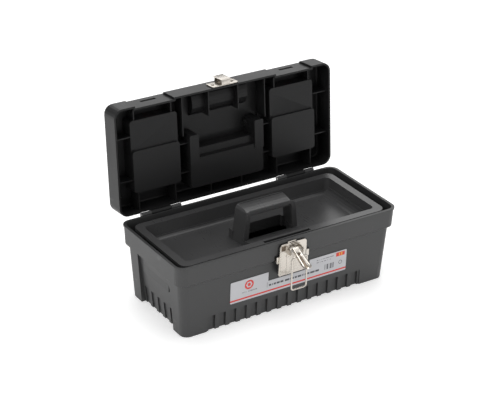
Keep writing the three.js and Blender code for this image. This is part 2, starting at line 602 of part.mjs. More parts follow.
// Wire loop: two short ends through the lever, two legs, and a straight bar with rounded corners.
function latchBail() {
  const { halfX, length, cornerR, halfSides, steps, wireR } = BAIL;
  const path = new THREE.CurvePath();
  const end = LEVER.halfX - LEVER.sheet - 1;
  const bend = 1.6;
  const line = (a, b) => path.add(new THREE.LineCurve3(new THREE.Vector3(...a), new THREE.Vector3(...b)));
  const round = (a, corner, b) => path.add(new THREE.QuadraticBezierCurve3(
    new THREE.Vector3(...a), new THREE.Vector3(...corner), new THREE.Vector3(...b)));
  line([-end, 0, 0], [-halfX + bend, 0, 0]);
  round([-halfX + bend, 0, 0], [-halfX, 0, 0], [-halfX, 0, -bend]);
  line([-halfX, 0, -bend], [-halfX, 0, -length + cornerR]);
  round([-halfX, 0, -length + cornerR], [-halfX, 0, -length], [-halfX + cornerR, 0, -length]);
  line([-halfX + cornerR, 0, -length], [halfX - cornerR, 0, -length]);
  round([halfX - cornerR, 0, -length], [halfX, 0, -length], [halfX, 0, -length + cornerR]);
  line([halfX, 0, -length + cornerR], [halfX, 0, -bend]);
  round([halfX, 0, -bend], [halfX, 0, 0], [halfX - bend, 0, 0]);
  line([halfX - bend, 0, 0], [end, 0, 0]);
  const wire = new THREE.Shape();
  wire.absarc(0, 0, wireR, 0, 2 * Math.PI);
  const geometry = new THREE.ExtrudeGeometry(wire, {
    steps, extrudePath: path, bevelEnabled: false, curveSegments: halfSides,
  });
  return toSolid(geometry);
}

// Tray.
// A sweep of the given radius where the floor turns up into a wall at distance reach.
function floorSweep(reach, low, radius) {
  const { roundSteps } = TRAY;
  const points = Array.from({ length: roundSteps + 1 }, (_, i) => {
    const turn = (Math.PI / 2) * (i / roundSteps);
    return [reach - radius + radius * Math.sin(turn), low + radius - radius * Math.cos(turn)];
  });
  points.push([reach + 6, low + radius], [reach + 6, low - 1], [reach - radius, low - 1]);
  return points;
}

function trayBody() {
  const { halfX, halfY, flange, top, bottom, wall, cornerR, draftX, draftY, hemHeight } = TRAY;
  const draft = { inset: [draftX, draftY] };
  const bodyX = halfX - flange + wall;
  const bodyY = halfY - flange + wall;
  const body = slab([-bodyX, -bodyY, bottom], [bodyX, bodyY, top], cornerR - 2, draft);
  const flangePlate = centredSlab(halfX, halfY, top - wall, top, cornerR);
  const hem = centredSlab(halfX, halfY, top - hemHeight, top, cornerR)
    .subtract(centredSlab(halfX - wall, halfY - wall, top - hemHeight - 1, top - wall, cornerR - wall));
  const low = bottom + wall;
  const endSweep = alongY(floorSweep(bodyX - wall - draftX, low, TRAY.endRound), -halfY, halfY);
  const sideSweep = alongX(floorSweep(bodyY - wall - draftY, low, TRAY.sideRound), -halfX, halfX);
  const cavity = slab([-bodyX + wall, -bodyY + wall, low], [bodyX - wall, bodyY - wall, top + 1],
    cornerR - 4, draft);
  const slot = block([TRAY.slotLeft, TRAY.slotFront, top - wall - 1],
    [TRAY.slotRight, TRAY.slotBack, top + 1]);
  return cut(join(body, flangePlate, hem),
    cut(cavity, bothSides(endSweep), sideSweep, sideSweep.mirror([0, 1, 0])), slot);
}

// The grip's front outline: straight legs that lean in, and rounded shoulders.
function archOutline(topHalf, baseHalf, topZ, shoulder, floor) {
  const lean = (baseHalf - topHalf) / (topZ - floor);
  const side = (z) => topHalf + lean * (topZ - z);
  const right = [[side(floor), floor], [side(topZ - shoulder), topZ - shoulder],
    [side(topZ - shoulder * 0.3) - shoulder * 0.3, topZ - shoulder * 0.3], [topHalf - shoulder, topZ]];
  return [...right, ...right.map(([x, z]) => [-x, z]).reverse()];
}

// The crown of the grip from the side: a raised back lip, then a curve that falls to the front.
function crownProfile(drop, front, back) {
  const { topZ, lipDeep, lipStep, crownLow, crownSteps } = GRIP;
  const curveTop = topZ - lipStep;
  const curveBack = GRIP.back - lipDeep;
  const points = Array.from({ length: crownSteps + 1 }, (_, i) => {
    const turn = (Math.PI / 2) * (i / crownSteps) * 0.9;
    return [curveBack - (curveBack - GRIP.front) * Math.sin(turn),
      crownLow - drop + (curveTop - crownLow) * Math.cos(turn)];
  }).filter(([y]) => y < back);
  const floor = TRAY.bottom - 3;
  return [[back, floor], [back, drop > 0 ? curveTop - drop : topZ], ...(drop > 0 ? [] : [[curveBack, topZ]]),
    ...points, [front, points[points.length - 1][1] - 0.5], [front, floor]];
}

// Hooded grip moulded over a hole in the floor: a front rim, a tapered crown, and a ramp before it.
function trayGrip() {
  const g = GRIP;
  const floor = TRAY.bottom + 0.5;
  const rimOutline = archOutline(g.topHalf, g.baseHalf, g.rimTopZ, g.shoulder, floor);
  const rim = alongY(rimOutline, g.front, g.front + g.rim);
  const hood = alongY(archOutline(g.topHalf, g.baseHalf, g.topZ, g.shoulder, floor),
    g.front + g.rim / 2, g.back, g.frontScale).intersect(alongX(crownProfile(0, g.front, g.back), -60, 60));
  const innerArch = archOutline(g.topHalf - g.shell, g.baseHalf - g.shell, g.topZ - g.shell, 3, floor - 4);
  const inside = alongY(innerArch, g.front + g.rim - 0.1, g.back + 1, g.frontScale)
    .intersect(alongX(crownProfile(g.shell, g.front, g.back + 2), -60, 60));
  const mouth = alongY(archOutline(g.holeTopHalf, g.holeBaseHalf, g.rimTopZ - g.rimDrop, 2, floor - 4),
    g.front - 1, g.front + g.rim + 0.2);
  const ramp = alongX([[g.rampFront, floor], [g.rampFront, g.rampTop], [g.front + 1, g.sillZ],
    [g.front + 1, floor]], -g.rampHalf, g.rampHalf);
  const rampHollow = alongX([[g.rampFront + 2, floor - 4], [g.rampFront + 2, g.rampTop - 3.4],
    [g.front - 1.4, g.sillZ - 2.6], [g.front - 1.4, floor - 4]], -g.rampHalf + 2, g.rampHalf - 2);
  const pitHalf = g.baseHalf - g.shell - 0.5;
  const collar = block([-pitHalf - g.pitWall, g.back - 2, floor],
    [pitHalf + g.pitWall, g.pitBack, g.backSillZ]);
  const pit = block([-pitHalf * g.frontScale, g.front + g.rim, floor - 6],
    [pitHalf * g.frontScale, g.pitBack - g.pitWall, g.backSillZ + 1]);
  const aboveSill = mouth.intersect(block([-60, g.front - 5, g.sillZ], [60, g.back + 5, g.topZ]));
  const aboveBackSill = inside.intersect(block([-60, g.front - 5, floor - 4], [60, g.back - 0.2, g.topZ]))
    .add(inside.intersect(block([-60, g.back - 1, g.backSillZ], [60, g.back + 5, g.topZ])));
  return { added: join(rim, hood, ramp, collar), removed: join(aboveSill, aboveBackSill, rampHollow, pit) };
}

function trayShell() {
  const { added, removed } = trayGrip();
  return join(trayBody(), added).subtract(removed);
}

// Label.
function frontLabel() {
  const { left, right, bottom, top, notch, notchTop, thick } = LABEL;
  const sheet = slab([left, bottom, 0], [right, top, thick], LABEL.cornerR);
  const gapForLatch = block([-notch, notchTop, -1], [notch, top + 5, thick + 1]);
  return sheet.subtract(gapForLatch);
}

// Assembly.
const toolbox = new THREE.Group();

toolbox.add(node("base_shell", baseShell(), blackPlastic));
toolbox.add(node("tray", trayShell(), trayPlastic));

const faceY = BASE.halfY - BASE.bandStep;
const labelLean = Math.atan(BASE.draftY / (BASE.bandBottom + 8));
const labelFrame = new THREE.Group();
labelFrame.position.set(0, -(faceY - BASE.draftY) - GAP, 0);
labelFrame.rotation.x = Math.PI / 2 + labelLean;
labelFrame.add(node("front_label", frontLabel(), labelFoil));
toolbox.add(labelFrame);

for (const [side, turn] of [["left", mirrored], ["right", (solid) => solid]]) {
  const pin = rodX(HINGE.pinR, HINGE.inner + 0.5, HINGE.outer - 0.5, HINGE.y, HINGE.z, 16);
  toolbox.add(node(`hinge_pin_${side}`, turn(pin), steelPin));
}

toolbox.add(node("latch_plate", latchPlate(), nickel));
toolbox.add(node("latch_pin", latchPin(), steelPin));
for (const [side, x] of [["left", -RIVET.x], ["right", RIVET.x]]) {
  const seat = LATCH.face - LATCH.thick - GAP;
  toolbox.add(node(`latch_rivet_${side}`, rivet(x, RIVET.z, seat, RIVET.headR), nickel));
}
const leverFrame = new THREE.Group();
leverFrame.position.set(0, LATCH.pivotY, LATCH.pivotZ);
leverFrame.rotation.x = degrees(LATCH.restAngle);
leverFrame.add(node("latch_lever", latchLever(), nickel));
toolbox.add(leverFrame);

const bailFrame = new THREE.Group();
bailFrame.position.set(0, LATCH.pivotY - BAIL.arm * Math.cos(degrees(LATCH.restAngle)),
  LATCH.pivotZ - BAIL.arm * Math.sin(degrees(LATCH.restAngle)));
bailFrame.add(node("latch_bail", latchBail(), nickel));
toolbox.add(bailFrame);

// Everything on the lid is drawn closed and swung open about the hinge pins.
const lidHinge = new THREE.Group();
lidHinge.position.set(0, HINGE.y, HINGE.z);
lidHinge.rotation.x = -degrees(HINGE.openAngle);
const lidFrame = new THREE.Group();
lidFrame.position.set(0, -HINGE.y, -HINGE.z);
lidHinge.add(lidFrame);
toolbox.add(lidHinge);

lidFrame.add(node("lid_shell", lidShell(), blackPlastic));
lidFrame.add(node("carry_handle", carryHandle(), blackPlastic));
lidFrame.add(node("keeper_plate", keeperPlate(), nickel));
for (const [side, turn] of [["left", mirrored], ["right", (solid) => solid]]) {
  const seat = LID.front - 2 * GAP - KEEPER.thick;
  lidFrame.add(node(`organizer_cover_${side}`, turn(organizerCover()), redPlastic));
  lidFrame.add(node(`handle_pin_${side}`, turn(carryPin()), steelPin));
  const keeperRivet = rivet(KEEPER.rivetX, KEEPER.rivetZ, seat, KEEPER.rivetR);
  lidFrame.add(node(`keeper_rivet_${side}`, turn(keeperRivet), nickel));
}

export default toolbox;
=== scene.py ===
import json
import math

import bpy
from mathutils import Matrix, Vector


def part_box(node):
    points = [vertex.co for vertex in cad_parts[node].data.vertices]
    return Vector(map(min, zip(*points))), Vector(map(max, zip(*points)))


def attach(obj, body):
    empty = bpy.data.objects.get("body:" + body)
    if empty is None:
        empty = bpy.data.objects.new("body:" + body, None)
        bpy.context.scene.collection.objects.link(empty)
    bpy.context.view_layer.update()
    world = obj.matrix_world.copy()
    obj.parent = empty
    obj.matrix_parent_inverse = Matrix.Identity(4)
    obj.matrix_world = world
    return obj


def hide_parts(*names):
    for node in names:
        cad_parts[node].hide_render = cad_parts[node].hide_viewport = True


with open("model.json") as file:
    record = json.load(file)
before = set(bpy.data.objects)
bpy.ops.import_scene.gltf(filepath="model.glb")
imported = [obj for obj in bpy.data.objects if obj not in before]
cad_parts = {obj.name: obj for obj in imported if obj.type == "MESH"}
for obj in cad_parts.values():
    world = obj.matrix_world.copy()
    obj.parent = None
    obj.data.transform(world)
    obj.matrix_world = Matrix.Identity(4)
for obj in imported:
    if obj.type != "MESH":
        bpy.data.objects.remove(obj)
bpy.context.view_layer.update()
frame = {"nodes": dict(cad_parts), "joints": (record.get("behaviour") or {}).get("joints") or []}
print("frame loaded:", len(frame["nodes"]), "nodes")

mm = 0.001  # places and sizes below are in millimetres, unless a note says otherwise

cameraLook = {
    "place": (-983.17, -1471.96, 1016.25),
    "azimuth": -33.3, "elevation": 26.87, "roll": 1.29,  # degrees
    "lens": 116.35, "sensor": 36,
}


def makeCamera(look):
    a, e, r = (math.radians(look[k]) for k in ("azimuth", "elevation", "roll"))
    back = Vector((math.sin(a) * math.cos(e), -math.cos(a) * math.cos(e), math.sin(e)))
    right = Vector((0, 0, 1)).cross(back).normalized()
    up = back.cross(right)
    turnedRight = right * math.cos(r) + up * math.sin(r)
    turnedUp = up * math.cos(r) - right * math.sin(r)
    data = bpy.data.cameras.new("camera")
    data.lens, data.sensor_width = look["lens"], look["sensor"]
    data.clip_start, data.clip_end = 0.1, 20
    camera = bpy.data.objects.new("camera", data)
    axes = Matrix((turnedRight, turnedUp, back)).transposed()
    camera.matrix_world = Matrix.Translation(Vector(look["place"]) * mm) @ axes.to_4x4()
    bpy.context.scene.collection.objects.link(camera)
    bpy.context.scene.camera = camera


makeCamera(cameraLook)


class Value:  # wraps one output socket, so that sums on it add Math nodes
    def __init__(self, graph, socket):
        self.graph, self.socket = graph, socket

    def maths(self, operation, *others):
        inputs = {i: v for i, v in enumerate((self, *others))}
        return self.graph.add("ShaderNodeMath", {"operation": operation}, inputs)

    def flipped(self, operation, other):
        return self.graph.add("ShaderNodeMath", {"operation": operation}, {0: other, 1: self})

    def __add__(self, other):
        return self.maths("ADD", other)

    def __radd__(self, other):
        return self.flipped("ADD", other)

    def __sub__(self, other):
        return self.maths("SUBTRACT", other)

    def __rsub__(self, other):
        return self.flipped("SUBTRACT", other)

    def __mul__(self, other):
        return self.maths("MULTIPLY", other)

    def __rmul__(self, other):
        return self.flipped("MULTIPLY", other)

    def __truediv__(self, other):
        return self.maths("DIVIDE", other)

    def __rtruediv__(self, other):
        return self.flipped("DIVIDE", other)

    def __pow__(self, other):
        return self.maths("POWER", other)

    def __gt__(self, other):
        return self.maths("GREATER_THAN", other)

    def __lt__(self, other):
        return self.maths("LESS_THAN", other)

    def __abs__(self):
        return self.maths("ABSOLUTE")

    def between(self, low, high):
        return (self > low) * (self < high)

    def capped(self):  # masks that overlap still add up to no more than 1
        return self.maths("MINIMUM", 1)


class Graph:  # one material and its nodes
    def __init__(self, name):
        self.material = bpy.data.materials.new(name)
        self.material.use_nodes = True
        self.tree = self.material.node_tree
        self.tree.nodes.clear()

    def add(self, kind, settings=None, inputs=None, output=0):
        node = self.tree.nodes.new(kind)
        for key, value in (settings or {}).items():
            setattr(node, key, value)
        for key, value in (inputs or {}).items():
            if isinstance(value, Value):
                self.tree.links.new(value.socket, node.inputs[key])
            else:
                node.inputs[key].default_value = value
        return Value(self, node.outputs[output]) if node.outputs else node

    def place(self):
        return self.add("ShaderNodeTexCoord", output="Object")

    def axes(self, vector):
        return [self.add("ShaderNodeSeparateXYZ", inputs={0: vector}, output=i) for i in range(3)]

    def stretch(self, vector, scale, turn=(0, 0, 0)):
        return self.add("ShaderNodeMapping", inputs={"Vector": vector, "Scale": scale, "Rotation": turn})

    def noise(self, vector, scale, detail=2.0):
        return self.add("ShaderNodeTexNoise", inputs={"Vector": vector, "Scale": scale, "Detail": detail})

    def cells(self, vector, scale):
        return self.add("ShaderNodeTexVoronoi", inputs={"Vector": vector, "Scale": scale})

    def mix(self, mask, a, b):
        inputs = {"Factor": mask, 6: colour(a), 7: colour(b)}
        return self.add("ShaderNodeMix", {"data_type": "RGBA"}, inputs, 2)

    def bump(self, height, strength, distance):
        inputs = {"Height": height, "Strength": strength, "Distance": distance}
        return self.add("ShaderNodeBump", inputs=inputs)

    def finish(self, inputs):
        shader = self.add("ShaderNodeBsdfPrincipled", inputs=inputs)
        self.add("ShaderNodeOutputMaterial", inputs={"Surface": shader})
        return self.material


def colour(value):
    if isinstance(value, Value):
        return value
    return (*value, 1) if len(value) == 3 else value


def scratches(g, p, scale, turn, amount):  # thin hairlines, 0 or 1
    lines = g.noise(g.stretch(p, scale, turn), 1.0, 3.0)
    where = g.noise(p, 30.0)
    return (lines > 1 - amount) * (where > 0.52)


shellLook = {
    "dark": (0.024, 0.0245, 0.025), "light": (0.044, 0.0445, 0.045), "rough": 0.46, "specular": 0.5,
    "grainScale": 1500, "grain": 0.3, "grainDepth": 0.07, "cloud": 0.7, "speckle": 0.5, "scratches": 0.34,
}
# the shell's plastic made darker and less shiny: the darker colour is painted shade on the lid and the carry
# handle
paintedShadeLidLook = dict(
    shellLook, dark=(0.006, 0.006, 0.0063), light=(0.014, 0.014, 0.0145), rough=0.4, grain=0.12,
    specular=0.26,
)
trayLook = dict(
    shellLook, dark=(0.038, 0.038, 0.0385), light=(0.064, 0.064, 0.065), rough=0.32, grain=0.14,
)


def mouldedPlastic(name, look):
    g = Graph(name)
    p = g.place()
    grain = g.cells(p, look["grainScale"])
    fine = g.noise(p, look["grainScale"] * 2.3, 3.0)
    cloud = g.noise(p, 14.0, 4.0)
    hair = scratches(g, p, (900, 60, 140), (0.3, 0.9, 0.4), look["scratches"])
    tone = (cloud - 0.5) * look["cloud"] + (fine - 0.5) * look["speckle"] + hair * 0.35 + 0.5
    base = g.mix(tone, look["dark"], look["light"])
    gloss = look["rough"] + (cloud - 0.5) * 0.16 + (fine - 0.5) * 0.12 - hair * 0.08
    height = grain * 0.6 + fine * 0.5
    normal = g.bump(height, look["grain"], look["grainDepth"] * mm)
    return g.finish({"Base Color": base, "Roughness": gloss, "Normal": normal,
                     "Specular IOR Level": look["specular"]})


coverLook = {
    "dark": (0.35, 0.006, 0.008), "light": (0.6, 0.02, 0.018), "rough": 0.12, "clear": 0.6, "bend": 1.49,
}


def clearRed(name, look):
    g = Graph(name)
    p = g.place()
    cloud = g.noise(p, 40.0, 3.0)
    hair = scratches(g, p, (120, 1100, 120), (0.2, 0.5, 0.1), 0.36)
    base = g.mix(cloud * 0.7 + hair * 0.3, look["dark"], look["light"])
    gloss = look["rough"] + cloud * 0.08 + hair * 0.2
    normal = g.bump(cloud + hair * 0.3, 0.05, 0.1 * mm)
    return g.finish({"Base Color": base, "Roughness": gloss, "Normal": normal,
                     "Transmission Weight": look["clear"], "IOR": look["bend"]})


nickelLook = {
    "dark": (0.48, 0.445, 0.4), "light": (0.66, 0.62, 0.565), "tarnish": (0.26, 0.22, 0.18),
    "rough": 0.26, "brush": (300, 300, 2400), "bump": 0.2,
}
# the same nickel made dark: painted shade and painted dark reflection for the plate's hollows, the keeper's
# slot and the lever's valley
paintedShadeLook = dict(
    nickelLook, dark=(0.12, 0.09, 0.065), light=(0.3, 0.25, 0.2), tarnish=(0.05, 0.04, 0.03), rough=0.34,
)
steelLook = dict(nickelLook, dark=(0.4, 0.39, 0.38), light=(0.62, 0.6, 0.58), brush=(60, 2400, 2400))


def platedMetal(name, look):
    g = Graph(name)
    p = g.place()
    brushed = g.noise(g.stretch(p, look["brush"]), 1.0, 4.0)
    cloud = g.noise(p, 120.0, 3.0)
    hair = scratches(g, p, (2600, 160, 500), (0.1, 0.7, 0.9), 0.4)
    spots = g.cells(p, 900.0) < 0.1
    tone = cloud * 0.6 + brushed * 0.4
    bright = g.mix(tone, look["dark"], look["light"])
    base = g.mix(spots * 0.35 + hair * 0.2, bright, look["tarnish"])
    gloss = look["rough"] + (brushed - 0.5) * 0.25 + (cloud - 0.5) * 0.12 + spots * 0.15
    normal = g.bump(brushed * 0.6 + hair * 0.4 + cloud * 0.3, look["bump"], 0.05 * mm)
    return g.finish({"Base Color": base, "Roughness": gloss, "Normal": normal, "Metallic": 1.0})


labelLook = {
    "paper": (0.47, 0.47, 0.49), "sheen": (0.56, 0.56, 0.58), "red": (0.62, 0.03, 0.02),
    "ink": (0.05, 0.05, 0.06), "grey": (0.2, 0.2, 0.21), "yellow": (0.85, 0.6, 0.05),
    "stripe": (31.2, 33.4),
    "disc": (-57.5, 49.5, 6.4),  # middle and radius
    "nut": (2.2, 3.9),  # half widths of the hexagon left clear in the disc
    "tag": (70, 83, 51.5, 57),  # a patch: left, right, bottom, top
    "bars": ((74.5, 75.3, 52.4, 56.1), (77, 79.6, 52.4, 53.1),  # plain yellow strokes on the tag
             (77, 79.6, 54, 54.6), (77, 79.6, 55.4, 56.1)),
    "rule": (-31.6, -31.1, 37.5, 44.5),
    "inkRows": ((-29, 45, 38.6, 41.2, 1.1, 0.62), (53, 67, 37.5, 45, 0.55, 0.5)),  # patch, pitch, share
    "greyRows": ((-68, -46, 39.6, 41.2, 0.9, 0.7), (40, 67, 53.6, 54.8, 0.8, 0.65),
                 (40, 62, 50.2, 51.4, 0.8, 0.65)),
    "ring": (77, 42.5, 2.0, 2.7),  # middle, then inner and outer radius
}


def printedLabel(name, look):
    g = Graph(name)
    p = g.place()
    x, _, z = (axis * 1000 for axis in g.axes(p))  # metres to millimetres

    def patch(left, right, bottom, top):
        return x.between(left, right) * z.between(bottom, top)

    def dashes(left, right, bottom, top, pitch, share):  # plain dashes of uneven length
        cell = (x / pitch).maths("FLOOR")
        chance = g.add("ShaderNodeTexWhiteNoise", {"noise_dimensions": "1D"}, {"W": cell + bottom})
        return patch(left, right, bottom, top) * (chance < share)

    def total(masks):
        first, *others = masks
        for mask in others:
            first = first + mask
        return first.capped()

    discX, discZ, discR = look["disc"]
    dx, dz = x - discX, z - discZ
    disc = (dx * dx + dz * dz) ** 0.5 < discR
    hexagon = abs(dz).maths("MAXIMUM", abs(dx) * math.cos(math.pi / 6) + abs(dz) * 0.5)
    mark = disc * (1 - hexagon.between(*look["nut"]))
    ringX, ringZ, ringIn, ringOut = look["ring"]
    ring = (((x - ringX) ** 2 + (z - ringZ) ** 2) ** 0.5).between(ringIn, ringOut)
    red = total([z.between(*look["stripe"]), mark, patch(*look["tag"])])
    ink = total([*(dashes(*row) for row in look["inkRows"]), patch(*look["rule"]), ring])
    grey = total([dashes(*row) for row in look["greyRows"]])
    yellow = total([patch(*stroke) for stroke in look["bars"]])
    cloud = g.noise(g.stretch(p, (20, 20, 60)), 1.0, 3.0)
    scuff = scratches(g, p, (700, 90, 300), (0.2, 0.6, 0.4), 0.35)
    tone = g.mix(cloud, look["paper"], look["sheen"])
    for mask, tint in ((grey, "grey"), (ink, "ink"), (red, "red"), (yellow, "yellow")):
        tone = g.mix(mask, tone, look[tint])
    gloss = 0.3 + cloud * 0.15 + scuff * 0.2
    normal = g.bump(cloud * 0.5 + scuff * 0.2 + red * 0.1, 0.15, 0.05 * mm)
    return g.finish({"Base Color": tone, "Roughness": gloss, "Normal": normal})


shellPlastic = mouldedPlastic("shellPlastic", shellLook)
lidPlastic = mouldedPlastic("lidPlastic", paintedShadeLidLook)
trayPlastic = mouldedPlastic("trayPlastic", trayLook)
coverPlastic = clearRed("coverPlastic", coverLook)
nickel = platedMetal("nickel", nickelLook)
nickelShade = platedMetal("nickelShade", paintedShadeLook)
pinSteel = platedMetal("pinSteel", steelLook)
labelPrint = printedLabel("labelPrint", labelLook)
print("materials made")

mouldings = {  # plastic and edge radius of the pieces whose edges are rounded
    # the lid and the handle take the darker copy of the shell plastic, painted shade
    "base_shell": (shellPlastic, 0.7), "lid_shell": (lidPlastic, 0.5),
    "carry_handle": (lidPlastic, 0.5), "tray": (trayPlastic, 0.6),
}


def dress(name, material, rounding=0.0):
    piece = frame["nodes"][name]
    piece.data.materials.clear()
    piece.data.materials.append(material)
    if rounding:
        weld = piece.modifiers.new("weld", "WELD")
        weld.merge_threshold = 0.01 * mm
        edge = piece.modifiers.new("edge", "BEVEL")
        edge.width, edge.segments = rounding * mm, 2
        edge.limit_method, edge.angle_limit = "ANGLE", math.radians(38)
        edge.miter_outer = "MITER_ARC"


for name in frame["nodes"]:
    if name in mouldings:
        dress(name, *mouldings[name])
    elif "pin" in name:
        dress(name, pinSteel)
    elif "cover" in name:
        dress(name, coverPlastic)
    elif "label" in name:
        dress(name, labelPrint)
    else:
        dress(name, nickel)
print("CAD nodes dressed")


def newCube(name, low, high):
    bpy.ops.object.select_all(action="DESELECT")
    middle = [(a + b) / 2 * mm for a, b in zip(low, high)]
    bpy.ops.mesh.primitive_cube_add(size=1, location=middle)
    bpy.ops.transform.resize(value=[(b - a) * mm for a, b in zip(low, high)])
    bpy.ops.object.transform_apply(location=True, rotation=True, scale=True)
    bpy.context.object.name = name
    return bpy.context.object


def newRod(name, radius, start, end, sides=24):
    bpy.ops.object.select_all(action="DESELECT")
    middle, reach = (Vector(start) + Vector(end)) / 2 * mm, (Vector(end) - Vector(start)) * mm
    turn = reach.to_track_quat("Z", "Y").to_euler()
    bpy.ops.mesh.primitive_cylinder_add(vertices=sides, radius=radius * mm, depth=reach.length,
                                        location=middle, rotation=turn)
    bpy.ops.object.transform_apply(location=True, rotation=True, scale=True)
    bpy.context.object.name = name
    return bpy.context.object


def pick(piece, kind, test):  # selects the vertices, edges or faces that pass the test, in edit mode
    bpy.ops.object.mode_set(mode="EDIT")
    bpy.ops.mesh.select_mode(type={"vertices": "VERT", "edges": "EDGE", "polygons": "FACE"}[kind])
    bpy.ops.mesh.select_all(action="DESELECT")
    bpy.ops.object.mode_set(mode="OBJECT")
    points = piece.data.vertices
    for part in getattr(piece.data, kind):
        if kind == "vertices":
            part.select = bool(test(part.co / mm))
        elif kind == "edges":
            a, b = (points[v].co / mm for v in part.vertices)
            part.select = bool(test((a + b) / 2, (b - a).normalized()))
        else:
            part.select = bool(test(part.center / mm, part.normal))
    bpy.ops.object.mode_set(mode="EDIT")


def slide(piece, test, offset):  # moves the vertices that pass the test
    pick(piece, "vertices", test)
    bpy.ops.transform.translate(value=[v * mm for v in offset])
    bpy.ops.object.mode_set(mode="OBJECT")


def cutAt(piece, axis, *places):  # new edges all round where each plane crosses
    bpy.ops.object.mode_set(mode="EDIT")
    normal = [float(axis == other) for other in "xyz"]
    for place in places:
        bpy.ops.mesh.select_all(action="SELECT")
        bpy.ops.mesh.bisect(plane_co=[n * place * mm for n in normal], plane_no=normal)
    bpy.ops.object.mode_set(mode="OBJECT")


def pushFaces(piece, test, offset, finish=None):  # extrudes faces, which may take another material
    pick(piece, "polygons", test)
    bpy.ops.mesh.extrude_region_move(TRANSFORM_OT_translate={"value": [v * mm for v in offset]})
    bpy.ops.object.mode_set(mode="OBJECT")
    if finish is not None:
        for face in piece.data.polygons:
            if face.select:
                face.material_index = finish


def roundEdges(piece, test, radius, steps=4):
    pick(piece, "edges", test)
    bpy.ops.mesh.bevel(offset=radius * mm, offset_type="OFFSET", segments=steps, affect="EDGES")
    bpy.ops.object.mode_set(mode="OBJECT")


def facesFront(normal):
    return normal.y < -0.9


def runsThrough(way):  # an edge from the front face to the back face
    return abs(way.y) > 0.9


def joined(name, *pieces):
    bpy.ops.object.select_all(action="DESELECT")
    for piece in pieces:
        piece.select_set(True)
    bpy.context.view_layer.objects.active = pieces[0]
    bpy.ops.object.join()
    pieces[0].name = name
    return pieces[0]


def paint(piece, *materials):  # comes before any face is given its material
    piece.data.materials.clear()
    for material in materials:
        piece.data.materials.append(material)


def finishPiece(piece, body, node, edge=0.25, angle=35, smooth=40):
    bpy.ops.object.select_all(action="DESELECT")
    piece.select_set(True)
    bpy.context.view_layer.objects.active = piece
    if edge:
        soften = piece.modifiers.new("soften", "BEVEL")
        soften.width, soften.segments = edge * mm, 2
        soften.limit_method, soften.angle_limit = "ANGLE", math.radians(angle)
        bpy.ops.object.modifier_apply(modifier="soften")
    bpy.ops.object.transform_apply(location=True, rotation=True, scale=True)
    bpy.ops.object.mode_set(mode="EDIT")
    bpy.ops.mesh.select_all(action="SELECT")
    bpy.ops.mesh.normals_make_consistent(inside=False)
    bpy.ops.object.mode_set(mode="OBJECT")
    bpy.ops.object.shade_smooth_by_angle(angle=math.radians(smooth))
    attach(piece, body)
    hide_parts(node)


pinLow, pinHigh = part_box("latch_pin")
latchPivot = (pinLow + pinHigh) / 2 / mm

plateLook = {
    "half": 19.5, "low": 52.6, "high": 95, "front": -72.4, "back": -71.3,
    "corner": 3.8, "flare": 1.6, "hem": 2.0, "hemRaise": 1.1,  # the flare and the folded hem are on the left
    "recess": (-17.2, -10.4, 85.8, 92.4), "slot": (-3.5, 5.5, 93.0, 94.2), "crease": (-0.4, 9.6, 91.3, 91.8),
    "deep": 0.95,  # of those three, whose floors take the darker nickel as painted shade
    "strap": (-9.4, -2.4), "strapLow": 61.6, "strapRaise": 0.45,
    "hook": (-7.8, 3.6), "hookBar": (96.1, 97.3), "stem": 2.4,
    "ear": 23.4, "earLow": 70.5, "earHigh": 79.5, "earRound": 0.9, "earSeat": 0.1,
    "prong": 1.1, "prongStart": -71.9, "prongEnd": -65.8, "prongInset": 0.8,
    "lug": (8.0, 9.2), "lugR": 4.4, "lap": 0.3,
}


def makeEar(look, side):  # a tab beside the plate, its prong into the wall, and the pivot lug
    half, back = look["half"], look["back"]
    x0, x1 = sorted((side * (half - 1), side * look["ear"]))
    ear = newCube("ear", (x0, look["front"], look["earLow"]), (x1, back, look["earHigh"]))
    roundEdges(ear, lambda middle, way: runsThrough(way) and abs(middle.x) > half + 2, look["earRound"], 3)
    pushFaces(ear, lambda c, n: n.y > 0.9, (0, look["earSeat"], 0))
    x0, x1 = sorted((side * look["ear"], side * (look["ear"] - look["prong"])))
    z0, z1 = look["earLow"] + look["prongInset"], look["earHigh"] - look["prongInset"]
    prong = newCube("prong", (x0, look["prongStart"], z0), (x1, look["prongEnd"], z1))
    x0, x1 = sorted(side * x for x in look["lug"])
    y, z, r = latchPivot.y, latchPivot.z, look["lugR"]
    lug = newCube("lug", (x0, y, z - r), (x1, look["front"] + look["lap"], z + r))
    lugEnd = newRod("lugEnd", r, (x0 + 0.02, y, z), (x1 - 0.02, y, z))
    return ear, prong, lug, lugEnd


